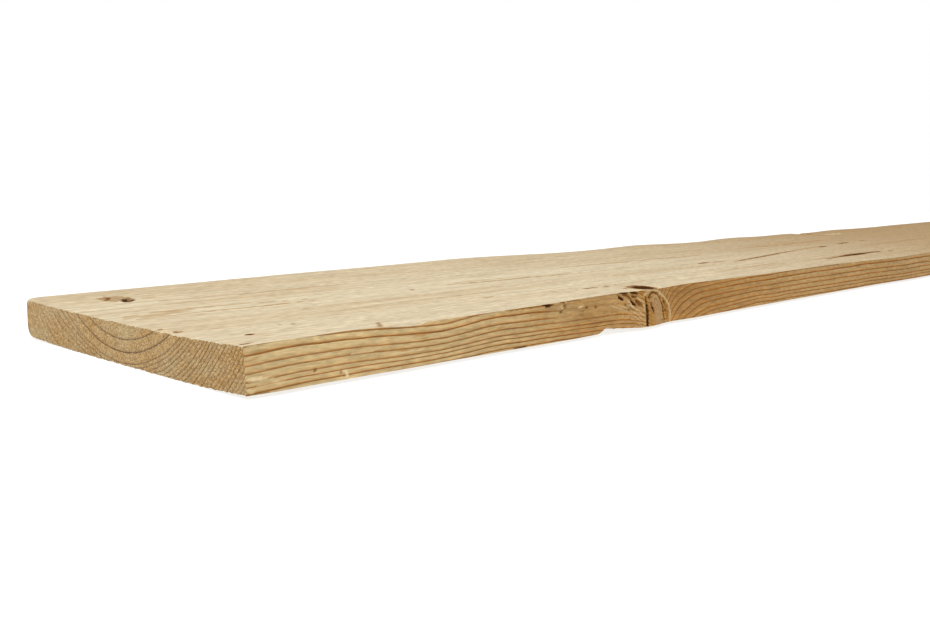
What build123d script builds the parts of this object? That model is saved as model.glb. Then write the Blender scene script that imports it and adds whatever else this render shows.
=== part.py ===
"""A rough timber plank: one board of softwood with wavy, hand-dressed long edges.

The board has dried slightly hollow, so both edges stand higher than its middle, and it lies
on the middle band of its underside. Millimetres, +Z up. X runs along the length, with the
end that is seen first at -X. Y runs across the width, from the near edge to the far one.
The origin is the middle of the underside.
"""
from build123d import *
import os

# Stock
length = 2000.0
width = 315.0        # between the mean lines of the two wavy edges
thickness = 27.0
saw_waste = 60.0     # how far each edge line runs on past a saw cut
face_waste = 3.0     # what comes off each face, and the hollow faces stand under it

# Hollow of the dried board: a flat middle band, then an arc up to each edge
band_width = 90.0
band_shift = -28.0   # from the middle of the width to the middle of the band
near_rise = 2.2      # of the foot of each edge over the band
far_rise = 2.6

# The near arrises are sharp. The far ones are worn, and so is their corner at the -X end.
far_top_round = 5.0
far_foot_round = 9.0
corner_round = 12.0

# Near edge: distance from the -X end, then how far its top line and its foot line lie
# inside the mean line of that edge. The swell near 360 is where the big knot comes out.
near_edge = [
    (0, 1, 0), (15, 3, -2), (47, 5, -2), (75, 8, -2), (105, 1, -3), (162, 0, -3),
    (230, 2, -4), (290, 7, -4), (338, 11, -5), (362, 9, -10), (382, 5, -5), (411, 8, -5),
    (459, 11, -5), (510, 8, -4), (614, 6, -4), (710, 7, -4), (776, 2, -4), (823, -5, -5),
    (880, -5, -7), (1040, 3, -4), (1220, 8, -3), (1400, 3, -5), (1600, -3, -6), (1800, 5, -3),
]

# Far edge: distance from the -X end, then how far its top line and its foot line lie
# outside the mean line of that edge.
far_edge = [
    (0, -13, -11), (21, -10, -9), (62, -7.5, -7), (105, -5, -5), (163, -2, -2), (230, 3, 2),
    (297, 6, 5), (376, 9, 8), (420, 12, 11), (467, 15, 14), (513, 14, 13), (560, 8, 8),
    (617, 0, 1), (690, -2, 0), (764, 5, 4), (812, 8, 6), (849, 1, 1), (888, -5, -3),
    (940, -6, -4), (1008, 4, 3), (1062, 5, 4), (1114, -2, -1), (1184, 1, 1), (1255, -6, -4),
    (1294, -5, -4), (1365, 2, 1), (1437, -1, -1), (1517, -3, -2), (1619, 2, 2), (1690, 4, 3),
    (1850, 7, 6),
]

# Chip broken off the foot of the near edge, just before the swell
chip_start = 300.0
chip_length = 47.0
chip_steep = 12.0    # the length over which it reaches its full height
chip_height = 4.4
chip_reach = 26.0    # how far it runs in under the plank, thinning out

# Sliver torn off the top of the near edge
sliver_end = 129.0
sliver_length = 46.0
sliver_steep = 5.0
sliver_height = 1.8
sliver_reach = 9.0

# Torn notch in the top of the far edge
notch_start = 1217.0
notch_length = 30.0
notch_height = 4.5
notch_reach = 26.0

# Hole left by the small knot in the top, near the far corner of the -X end
knot_hole_from_end = 56.0
knot_hole_from_far = 68.5
knot_hole_length = 8.0
knot_hole_width = 19.0
knot_hole_depth = 7.0

# Pocket of bark in the top
pocket_start = 784.0
pocket_length = 172.0
pocket_from_near = 56.0
pocket_width = 7.0
pocket_depth = 1.4
pocket_turn = 2.5    # degrees from the length of the plank

# Splits round the big knot. Each in the near side: distance from the -X end, height over
# the foot of that side, length, width, turn from level in degrees, depth from the mean line.
side_splits = [
    (366.5, 9.5, 21.0, 1.8, 78, 5),
    (371.0, 13.0, 8.0, 1.6, 98, 7),
    (350.0, 21.5, 11.0, 2.0, -8, 13),
    (338.0, 24.0, 12.0, 1.4, -4, 14),
]
# The one in the top: distance from the -X end and from the near mean line, then as above,
# with its depth under the top.
top_split = (391.0, 24.5, 27.0, 3.6, -18, 5)

feather = 0.3        # what is left of the height of a break where it thins out
overcut = 15.0       # how far a cutting shape stands out of the face that it cuts

left_end = -length / 2
near_line = -width / 2
far_line = width / 2
near_band_line = band_shift - band_width / 2
far_band_line = band_shift + band_width / 2


def arc_rise(distance, span, rise):
    """Height of an arc that leaves a level line and has risen by rise at the end of span."""
    radius = (span ** 2 + rise ** 2) / (2 * rise)
    return radius - (radius ** 2 - distance ** 2) ** 0.5


def hollow(across):
    """How far the underside stands off the floor at a place across the width."""
    if across < near_band_line:
        return arc_rise(near_band_line - across, near_band_line - near_line, near_rise)
    if across > far_band_line:
        return arc_rise(across - far_band_line, far_line - far_band_line, far_rise)
    return 0.0


def hollow_line(height):
    """The hollow line of the underside or the top, run on past both edges."""
    near_place = near_line - saw_waste
    far_place = far_line + saw_waste
    band = Line((near_band_line, height), (far_band_line, height))
    near_arc = TangentArc(band @ 0, (near_place, height + hollow(near_place)), tangent=(-1, 0))
    far_arc = TangentArc(band @ 1, (far_place, height + hollow(far_place)), tangent=(1, 0))
    return near_arc @ 1, far_arc @ 1


def plane_over_top(along, across):
    """A level plane for a shape that is cut down into the top at one place."""
    return Plane((along, across, thickness + hollow(across) + overcut))


def edge_points(stations, mean_line, rise, height):
    """Points of one wavy edge at one height, from past one saw cut to past the other."""
    kept = [station for station in stations if station[0] <= length]
    before = (-saw_waste,) + kept[0][1:]
    after = (length + saw_waste,) + kept[-1][1:]
    share = (height - rise) / thickness
    points = []
    for distance, top, foot in [before] + kept + [after]:
        points.append((left_end + distance, mean_line + foot + (top - foot) * share))
    return points


def plank_outline(height):
    """The two edge lines of the plank at one height, closed by a line across at each end."""
    near = Spline(*edge_points(near_edge, near_line, near_rise, height))
    far = Spline(*edge_points(far_edge, far_line, far_rise, height))
    Line(near @ 0, far @ 0)
    Line(near @ 1, far @ 1)


def split_outline(split_length, split_width):
    """A split seen from the front: two shallow arcs that meet in two sharp ends."""
    half = split_length / 2
    ThreePointArc((-half, 0), (0, split_width / 2), (half, 0))
    ThreePointArc((-half, 0), (0, -split_width / 2), (half, 0))


def broken_outline(start, peak, end, arris, depth):
    """A break seen from the side of the plank: its deepest place lies at peak."""
    outside = arris + overcut if depth > 0 else arris - overcut
    Polyline(
        (start, outside), (start, arris), (peak, arris - depth), (end, arris), (end, outside),
        close=True,
    )


with BuildPart() as plank:
    # The board, wider or narrower at its foot than at its top from place to place
    for height in (-face_waste, thickness + max(near_rise, far_rise) + face_waste):
        with BuildSketch(Plane.XY.offset(height)):
            with BuildLine():
                plank_outline(height)
            make_face()
    loft()

    # Its hollow section, which also saws both ends square
    with BuildSketch(Plane.YZ.offset(left_end)):
        with BuildLine():
            near_foot, far_foot = hollow_line(0)
            near_top, far_top = hollow_line(thickness)
            Line(near_foot, near_top)
            Line(far_foot, far_top)
        make_face()
    extrude(amount=length, mode=Mode.INTERSECT)

    # Far arrises, worn round
    far_arrises = plank.faces().sort_by(Axis.Y)[-1].edges().sort_by(Axis.Z)
    fillet(far_arrises[-1], far_top_round)
    far_arrises = plank.faces().sort_by(Axis.Y)[-1].edges().sort_by(Axis.Z)
    fillet(far_arrises[0], far_foot_round)

    # Corner worn round
    corner_y = far_line + far_edge[0][1]
    with BuildSketch(Plane.XY.offset(-overcut)):
        with BuildLine():
            arc = RadiusArc(
                (left_end, corner_y - corner_round), (left_end + corner_round, corner_y), corner_round,
            )
            Polyline(
                arc @ 1, (left_end + corner_round, corner_y + overcut),
                (left_end - overcut, corner_y + overcut),
                (left_end - overcut, corner_y - corner_round), arc @ 0,
            )
        make_face()
    extrude(amount=thickness + far_rise + 2 * overcut, mode=Mode.SUBTRACT)

    # Chip in the foot of the near edge, thinning out under the plank
    chip_from = left_end + chip_start
    chip_to = chip_from + chip_length
    with BuildSketch(Plane.XZ.offset(-near_line + overcut)):
        with BuildLine():
            broken_outline(chip_from, chip_from + chip_steep, chip_to, near_rise, -chip_height)
        make_face()
    with BuildSketch(Plane.XZ.offset(-near_line - chip_reach)):
        with BuildLine():
            middle = chip_from + chip_length / 2
            inner_foot = hollow(near_line + chip_reach)
            broken_outline(
                middle - chip_steep, middle, middle + chip_steep, inner_foot, -feather,
            )
        make_face()
    loft(mode=Mode.SUBTRACT)

    # Sliver torn off the top of the near edge
    sliver_to = left_end + sliver_end
    sliver_from = sliver_to - sliver_length
    with BuildSketch(Plane.XZ.offset(-near_line + overcut)):
        with BuildLine():
            near_arris = thickness + near_rise
            broken_outline(sliver_from, sliver_to - sliver_steep, sliver_to, near_arris, sliver_height)
        make_face()
    with BuildSketch(Plane.XZ.offset(-near_line - sliver_reach)):
        with BuildLine():
            inner_top = thickness + hollow(near_line + sliver_reach)
            broken_outline(sliver_from, sliver_to - sliver_steep, sliver_to, inner_top, feather)
        make_face()
    loft(mode=Mode.SUBTRACT)

    # Notch torn into the top of the far edge
    notch_from = left_end + notch_start
    notch_to = notch_from + notch_length
    with BuildSketch(Plane.XZ.offset(-far_line - overcut)):
        with BuildLine():
            broken_outline(
                notch_from, notch_from + notch_length / 2, notch_to, thickness + far_rise, notch_height,
            )
        make_face()
    with BuildSketch(Plane.XZ.offset(-far_line + notch_reach)):
        with BuildLine():
            broken_outline(
                notch_from + notch_length / 3, notch_from + notch_length / 2,
                notch_to - notch_length / 3, thickness + hollow(far_line - notch_reach), notch_height / 4,
            )
        make_face()
    loft(mode=Mode.SUBTRACT)

    # Hole of the small knot
    knot_hole_x = left_end + knot_hole_from_end
    knot_hole_y = far_line - knot_hole_from_far
    with BuildSketch(plane_over_top(knot_hole_x, knot_hole_y)):
        Ellipse(knot_hole_length / 2, knot_hole_width / 2)
    extrude(amount=-(overcut + knot_hole_depth), mode=Mode.SUBTRACT)

    # Pocket of bark
    pocket_x = left_end + pocket_start + pocket_length / 2
    pocket_plane = plane_over_top(pocket_x, near_line + pocket_from_near)
    with BuildSketch(pocket_plane.rotated((0, 0, pocket_turn))):
        with BuildLine():
            split_outline(pocket_length, pocket_width)
        make_face()
    extrude(amount=-(overcut + pocket_depth), mode=Mode.SUBTRACT)

    # Splits in the near side
    for from_end, height, split_length, split_width, turn, depth in side_splits:
        place = (left_end + from_end, near_line - overcut, near_rise + height)
        side_plane = Plane(place, x_dir=(1, 0, 0), z_dir=(0, -1, 0))
        with BuildSketch(side_plane.rotated((0, 0, turn))):
            with BuildLine():
                split_outline(split_length, split_width)
            make_face()
        extrude(amount=-(overcut + depth), mode=Mode.SUBTRACT)

    # Split in the top
    from_end, from_near, split_length, split_width, turn, depth = top_split
    top_plane = plane_over_top(left_end + from_end, near_line + from_near)
    with BuildSketch(top_plane.rotated((0, 0, turn))):
        with BuildLine():
            split_outline(split_length, split_width)
        make_face()
    extrude(amount=-(overcut + depth), mode=Mode.SUBTRACT)

plank.part.label = "plank"

os.makedirs("parts", exist_ok=True)
export_step(plank.part, "parts/plank.step")
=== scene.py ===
"""The looks of a rough softwood plank: growth rings, knots, splits, torn grain and sawn ends.

The rings are solid: each point of the wood knows how many rings lie between it and the pith,
so the arcs on the sawn end, the lines on the edges and the long tongues on the top all meet.
Sizes are in millimetres, with distances along the plank counted from its -X end. That end is
on the left of the near side.
"""
import math

import bpy
import numpy as np
from bpy.props import FloatProperty, FloatVectorProperty, PointerProperty
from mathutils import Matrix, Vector
from mathutils.bvhtree import BVHTree
from mathutils.geometry import delaunay_2d_cdt


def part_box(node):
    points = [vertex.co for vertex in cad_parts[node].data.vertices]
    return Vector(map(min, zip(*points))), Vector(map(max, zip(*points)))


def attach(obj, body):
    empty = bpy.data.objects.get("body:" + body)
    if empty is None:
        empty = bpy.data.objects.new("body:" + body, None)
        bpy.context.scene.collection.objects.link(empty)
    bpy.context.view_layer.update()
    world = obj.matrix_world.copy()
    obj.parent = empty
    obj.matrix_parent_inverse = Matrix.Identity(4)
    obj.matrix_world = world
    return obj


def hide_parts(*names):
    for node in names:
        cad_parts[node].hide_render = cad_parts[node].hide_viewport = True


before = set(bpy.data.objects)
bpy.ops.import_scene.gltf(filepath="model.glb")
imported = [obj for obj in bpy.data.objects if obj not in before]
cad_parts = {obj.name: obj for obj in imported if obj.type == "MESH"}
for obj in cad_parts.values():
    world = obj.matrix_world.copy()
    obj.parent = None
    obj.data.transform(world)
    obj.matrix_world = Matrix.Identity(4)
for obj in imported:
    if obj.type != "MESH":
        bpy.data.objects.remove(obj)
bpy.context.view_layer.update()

bl_info = {
    "name": "Rough Plank",
    "version": (1, 0, 0),
    "blender": (4, 5, 0),
    "location": "3D View > Sidebar > Plank",
    "description": "Dresses a plain plank solid as rough softwood",
    "category": "Object",
}

MM = 0.001

low, high = (np.array(corner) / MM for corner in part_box("plank"))
LENGTH = high[0] - low[0]
LEFT_END = low[0]

# Mean lines of the two wavy edges, as places across the plank
NEAR_LINE = -157.5
FAR_LINE = 157.5

# Hollow of the dried board: a level middle band and an arc up to each edge
BAND_NEAR = -73.0
BAND_FAR = 17.0
NEAR_RISE = 2.2
FAR_RISE = 2.6

# Rounds of the arrises, and of the worn corner
NEAR_ROUND = 0.5
FAR_TOP_ROUND = 5.0
FAR_FOOT_ROUND = 9.0
CORNER_ROUND = 18.0

# Heights at which the long sides are probed, clear of their rounds, the step between two probes,
# and how far off the rays start
NEAR_PROBE_HEIGHTS = (8.0, 20.0)
FAR_PROBE_HEIGHTS = (11.0, 21.0)
PROBE_STEP = 6.0
RAY_START = 400.0

# Pith: the centre of the tree, above the plank. It wanders up and down in waves: the height of
# each, its length divided by a full turn, and where it starts.
PITH_ACROSS = 143.0 + NEAR_LINE
PITH_HEIGHT = 127.0
PITH_WAVES = ((1.1, 61, 2.7), (1.5, 133, 1.3))
PITH_SINK = 0.6

# The grain runs along with the near edge, and this far inward still by a third
NEAR_REACH = 40.0

# Beyond the pith the rings stand further apart: the share of them that is missing there, the
# radius they are counted from, and the distances from the near mean line where that comes in
SPREAD_SHARE = 0.42
SPREAD_RADIUS = 119.4
SPREAD_INWARD = (170.0, 250.0)

# Knots: the big one in the near side, the small one in the top. The heart of the big one leans
# over its swell, so it has a distance along for each height, and half its size either way.
KNOT_ALONG = 377.5
KNOT_LEAN = [(2, 5, 9.6, 15, 25, 30), (370.5, 373.6, 377.5, 380.4, 383, 384)]
KNOT_MIDDLE = 9.0
KNOT_HALF_LENGTH = 7.6
KNOT_HALF_HEIGHT = 17.0
SMALL_KNOT_ALONG = 51.0
SMALL_KNOT_INWARD = 253.0

# Rings that swing out round the knots: how far, and over what reach beyond a knot's radius. Round
# the big knot the first number is for its right, the second for its torn left.
SWING_ALONG = KNOT_ALONG + 3
KNOT_RADIUS = 9.0
KNOT_SWING = (17.0, 8.0)
KNOT_SWING_REACH = (24.0, 15.0)
SMALL_KNOT_SWING = 4.0
SMALL_KNOT_SWING_REACH = 12.0

# Ring numbers in the heart of the big knot: the first, and how many there are to its rim
HEART_FIRST_RING = 60.4
HEART_RINGS = 4.6

# The small knot's open hole and the grey wood beside it: distance along, distance from the near
# mean line, length, width and turn in degrees
KNOT_HOLE = (56.5, 246.0, 24, 12, 62)
KNOT_WOOD = (52.0, 257.5, 34, 24, 66)

# Chip off the foot of the near edge: steep at first, then thinning out along and inward
CHIP_START = 299.0
CHIP_STEEP = 12.0
CHIP_END = 348.0
CHIP_TAPER = 37.0
CHIP_HEIGHT = 3.3
CHIP_REACH = 26.0
CHIP_TOP = 14.0

# Sliver off the top of the near edge: it thins out to the left and is torn on the right
SLIVER_START = 84.0
SLIVER_FULL = 122.0
SLIVER_TORN = 124.0
SLIVER_END = 129.0
SLIVER_HEIGHT = 1.5
SLIVER_REACH = 8.0
SLIVER_FOOT = 14.0

# Torn notch in the top of the far edge
NOTCH_MIDDLE = 1232.0
NOTCH_HALF_LENGTH = 14.0
NOTCH_HEIGHT = 3.6
NOTCH_REACH = 28.0
NOTCH_FOOT = 10.0

# Pocket of bark in the top: a bent lens, with its half width at shares of its length
POCKET_START = 784.0
POCKET_LENGTH = 172.0
POCKET_INWARD = 50.5
POCKET_BEND = 10.5
POCKET_SWEEP = 2.1
POCKET_SHARES = (0, 0.3, 0.48, 0.62, 0.8, 0.93, 1)
POCKET_WIDTHS = (0, 1.4, 4.8, 6.2, 2.4, 3.4, 0)

# Torn rim of the first sawn end: how far its teeth run along the plank, and its pulled fibres
RIM_REACH = 2.4
PULLED_REACH = 1.2

# Upper rings of the near side that are faint on one stretch: where along the plank that comes in
# and goes out, and the heights between which it comes in
FAINT_FROM = (236.0, 268.0)
FAINT_TO = (352.0, 364.0)
FAINT_ABOVE = (13.0, 17.0)

# Wood that darkens under the top arris, right of the big knot
SWIRL_ALONG = 436.0
SWIRL_REACH = 40.0

# The top is a little browner beyond these distances from the near mean line
FAR_STRIP = (262.0, 300.0)

# The rings of the sawn ends grow faint between these places across the plank
RINGS_CLEAR = 20.0
RINGS_FAINT = 130.0

# The stage, in metres: the floor, the light over the plank and the camera
FLOOR_SIZE = 5.0
FLOOR_MIDDLE = (-0.2, 0.5, 0.0)
FLOOR_COLOUR = "#9A9A9A"
FLOOR_GLOW = 0.72
KEY_SIZE = (2.6, 2.2)
KEY_PLACE = (-1.7, -0.9, 2.2)
CAMERA_PLACE = (-1.27993, -0.60125, 0.11646)
CAMERA_AIM = (0.70083, 0.70107, -0.13170)

# The camera's lens and sensor, in millimetres
CAMERA_LENS = 38.17
CAMERA_SENSOR = 36.0


def linear(hex_colour):
    """A linear RGB triple from an sRGB hex value."""
    value = int(hex_colour.lstrip("#"), 16)
    parts = [(value >> shift & 255) / 255 for shift in (16, 8, 0)]
    return tuple(p / 12.92 if p <= 0.04045 else ((p + 0.055) / 1.055) ** 2.4 for p in parts)


def smooth_step(values, start, end):
    """0 before start, 1 after end, and a smooth rise between them."""
    t = np.clip((values - start) / (end - start), 0, 1)
    return t * t * (3 - 2 * t)


def wood_noise(seed, *axes):
    """Smooth noise from -1 to 1. Each axis is a pair: the coordinates and the size of a cell."""
    table_size = 128 if len(axes) < 3 else 40
    table = np.random.default_rng(seed).uniform(-1, 1, (table_size,) * len(axes))
    cells, fractions = [], []
    for values, cell in axes:
        floor = np.floor(values / cell).astype(int)
        t = values / cell - floor
        cells.append(floor)
        fractions.append(t * t * (3 - 2 * t))
    total = 0.0
    for corner in np.ndindex(*(2,) * len(axes)):
        weight = 1.0
        for side, t in zip(corner, fractions):
            weight = weight * (t if side else 1 - t)
        index = tuple((cell + side) % table_size for cell, side in zip(cells, corner))
        total = total + weight * table[index]
    return total


def arc_rise(distance, span, rise):
    """Height of an arc that leaves a level line and has risen by rise at the end of span."""
    radius = (span ** 2 + rise ** 2) / (2 * rise)
    distance = np.clip(distance, 0, None)
    return radius - np.sqrt(radius ** 2 - distance ** 2)


def hollow(across):
    """How far the underside stands off the floor at a place across the width."""
    near = arc_rise(BAND_NEAR - across, BAND_NEAR - NEAR_LINE, NEAR_RISE)
    return near + arc_rise(across - BAND_FAR, FAR_LINE - BAND_FAR, FAR_RISE)


class Lines:
    """The four long arrises of the solid, read from its mesh as distances across the plank."""

    def __init__(self, node):
        vertices = [tuple(v.co / MM) for v in node.data.vertices]
        polygons = [tuple(p.vertices) for p in node.data.polygons]
        self.tree = BVHTree.FromPolygons(vertices, polygons)
        middle = LEFT_END + LENGTH / 2
        above = Vector((middle, 0, RAY_START))
        self.thickness = self.tree.ray_cast(above, Vector((0, 0, -1)))[0][2]
        self.near_probes = np.arange(1.0, LENGTH - 1, PROBE_STEP)
        self.far_probes = np.arange(CORNER_ROUND + 3, LENGTH - 1, PROBE_STEP)
        self.near = self.side_lines(self.near_probes, -1, NEAR_PROBE_HEIGHTS, NEAR_RISE)
        self.far = self.side_lines(self.far_probes, 1, FAR_PROBE_HEIGHTS, FAR_RISE)

    def side_lines(self, probes, side, heights, rise):
        """Where a long side meets the underside and the top, at each probe."""
        rows = []
        for height in heights:
            rows.append(np.array([self.outermost(at, side, height + rise) for at in probes]))
        slope = (rows[1] - rows[0]) / (heights[1] - heights[0])
        foot = rows[0] - slope * heights[0]
        return foot, foot + slope * self.thickness

    def outermost(self, along, side, height):
        """The furthest out that a side comes within a few millimetres, so splits don't count."""
        found = []
        for shift in (-2.5, 0.0, 2.5):
            x = min(max(along + shift, 0.5), LENGTH - 0.5) + LEFT_END
            outside = Vector((x, side * RAY_START, height))
            hit = self.tree.ray_cast(outside, Vector((0, -side, 0)))[0]
            found.append(hit[1])
        return side * max(side * y for y in found)

    def at(self, along):
        """Near foot, near top, far top and far foot at any distances along the plank."""
        kernel = np.array([1, 2, 3, 2, 1]) / 9
        result = []
        for probes, line in ((self.near_probes, self.near[0]), (self.near_probes, self.near[1]),
                             (self.far_probes, self.far[1]), (self.far_probes, self.far[0])):
            smooth = np.convolve(np.pad(line, 2, mode="edge"), kernel, mode="valid")
            result.append(np.interp(along, probes, smooth))
        to_end = np.clip(CORNER_ROUND - along, 0, CORNER_ROUND)
        inset = CORNER_ROUND - np.sqrt(CORNER_ROUND ** 2 - to_end ** 2)
        return result[0], result[1], result[2] - inset, result[3] - inset


def spaced(start, stretches):
    """Places along a line: each stretch is (where it ends, the step within it)."""
    places = [start]
    for end, step in stretches:
        count = max(1, round((end - places[-1]) / step))
        places.extend(np.linspace(places[-1], end, count + 1)[1:])
    return np.array(places)


# Distances along the plank of the rows of points. The first rows are finer, for torn fibres.
RIM_ROWS = np.array([0.0, 0.3, 0.7, 1.2, 1.9, 2.8])
ROWS = spaced(4.0, [
    (90, 1.8), (326, 3.0), (404, 0.8), (480, 2.7), (900, 4.3), (1214, 6.0), (1252, 2.4),
    (LENGTH - 10, 9.5), (LENGTH, 3.0),
])

# Steps round the section: near side, top, far side and underside, each from 0 to 1
TOP_WIDTH = FAR_LINE - NEAR_LINE
SECTION_STEPS = [
    np.linspace(0, 1, 31),
    spaced(0.0, [
        (46, 1.7), (66, 2.5), (112, 3.3), (160, 2.7), (232, 4.4), (276, 1.6), (TOP_WIDTH, 4.0),
    ]) / TOP_WIDTH,
    np.linspace(0, 1, 5),
    np.linspace(0, 1, 10),
]
RIM_STEPS = [
    np.linspace(0, 1, 46), np.linspace(0, 1, 361), np.linspace(0, 1, 16), np.linspace(0, 1, 181),
]
ARRIS_STEPS = [3, 3, 5, 6]

# Radii of the dark lines of late wood, from the pith outward
RING_RADII = np.concatenate([
    [60, 68, 76, 84, 92, 99.6, 111.2, SPREAD_RADIUS], spaced(126.8, [
        (176.6, 2.77), (180.0, 3.4), (182.5, 2.5), (185.4, 2.9), (187.1, 1.7), (260, 2.3),
    ]),
])

# Ring number against radius: late wood is the outer part of a ring, and thin in a wide ring too
LATE_WOOD = 1.7
LATE_START = 0.4


def ring_scale(radii):
    """Radii where each ring and its late wood start, and the ring numbers there."""
    inner, outer = radii[:-1], radii[1:]
    late = np.maximum(inner + LATE_START * (outer - inner), outer - LATE_WOOD)
    first = np.arange(len(inner))
    places = np.stack([inner, late], axis=1).ravel()
    return places, np.stack([first, first + LATE_START], axis=1).ravel()


RING_PLACES, RING_NUMBERS = ring_scale(RING_RADII)

# How far the grain lines of the near side rise and fall along the plank, just under the top
# and near the foot: distance along, upper rise, lower rise
GRAIN_WAVE = np.array([
    (0, 0, 0), (35, 1.0, 1.0), (70, 0.7, 1.2), (95, -0.8, 1.0), (145, -2.8, 0.8),
    (166, -0.9, 1.8), (180, 0.6, 2.8), (201, 1.7, 3.6), (235, 0.4, 2.8), (255, -0.8, 2.4),
    (300, -1.0, 1.6), (340, 0.0, 1.0), (427, -2.0, -1.0), (480, 0.6, 0.6), (540, 0.4, 1.6),
    (670, 1.4, 0.8), (870, 1.5, 0.2), (1100, 0.0, 0.0), (2000, 1.0, 1.0),
])


# The marks of the top are shallow: depth would hide their floor from a low eye, so the shade
# that a deep cut holds is painted into them with the cavity tone
TOP_MARK_DEPTH = 0.15

# How far the dressed faces stay under those of the solid, and the far side on its own
CLEARANCE = 0.02
FAR_CLEARANCE = 0.05

# Warmth of the long sides against the distance along
RUSSET = [
    (60, 150, 220, 290, 360, 420, 480, 620, 2000),
    (0.0, 0.15, 0.5, 1.1, 1.0, 1.25, 1.15, 0.7, 0.95),
]


def bezier(start, corner, end, count):
    """Points of a rounded corner, without its two ends. Each point is an array pair."""
    points = []
    for t in np.linspace(0, 1, count + 1)[1:-1]:
        points.append((1 - t) ** 2 * start + 2 * t * (1 - t) * corner + t * t * end)
    return points


def section_loop(lines, thickness, steps):
    """Points round the section for each row, from over the near foot arris and up the side.

    Returns their places across, their heights over the foot, both (rows, points), and a
    number for each that says where on the loop it is: 0 near side, 1 top, 2 far side,
    3 underside, with the fraction done.
    """
    foot_near, top_near, top_far, foot_far = lines
    zero = np.zeros_like(foot_near)
    arrises = [
        np.stack([foot_near, zero]), np.stack([top_near, zero + thickness]),
        np.stack([top_far, zero + thickness]), np.stack([foot_far, zero]),
    ]
    rounds = [NEAR_ROUND, NEAR_ROUND, FAR_TOP_ROUND, FAR_FOOT_ROUND]
    points, places = [], []
    for k in range(4):
        following = (k + 1) % 4
        here, there, after = arrises[k], arrises[following], arrises[(k + 2) % 4]
        way = (there - here) / np.linalg.norm(there - here, axis=0)
        start = here + way * rounds[k]
        end = there - way * rounds[following]
        for t in steps[k]:
            points.append(start + (end - start) * t)
            places.append(k + 0.1 + 0.8 * t)
        onward = (after - there) / np.linalg.norm(after - there, axis=0)
        corner = bezier(end, there, there + onward * rounds[following], ARRIS_STEPS[following])
        points.extend(corner)
        places.extend(k + 0.9 + 0.2 * (j + 1) / (len(corner) + 1) for j in range(len(corner)))
    points = np.array(points)
    return points[:, 0].T.copy(), points[:, 1].T.copy(), np.array(places)


def lens(a, b, centre_a, centre_b, length, width, turn):
    """How deep a point lies in a lens-shaped patch: 1 on its line, 0 at its outline and beyond."""
    angle = math.radians(turn)
    run = (a - centre_a) * math.cos(angle) + (b - centre_b) * math.sin(angle)
    off = -(a - centre_a) * math.sin(angle) + (b - centre_b) * math.cos(angle)
    reach = np.clip(1 - (2 * run / length) ** 2, 0, None)
    return np.clip(1 - np.abs(off) / (width / 2 * reach + 1e-6), 0, 1) * (reach > 0)


def stroke(a, b, path, width):
    """1 on the middle of a stroke along a path, 0 at its outline and beyond. Both ends taper."""
    lengths = [math.dist(start, end) for start, end in zip(path, path[1:])]
    inside = np.zeros_like(a)
    done = 0.0
    for (start, end), length in zip(zip(path, path[1:]), lengths):
        way_a, way_b = end[0] - start[0], end[1] - start[1]
        t = np.clip(((a - start[0]) * way_a + (b - start[1]) * way_b) / length ** 2, 0, 1)
        distance = np.hypot(a - start[0] - t * way_a, b - start[1] - t * way_b)
        share = 2 * (done + t * length) / sum(lengths) - 1
        half = width / 2 * np.sqrt(np.clip(1.1 - share ** 2, 0.1, 1))
        inside = np.maximum(inside, np.clip(1 - distance / half, 0, 1))
        done += length
    return inside
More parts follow.
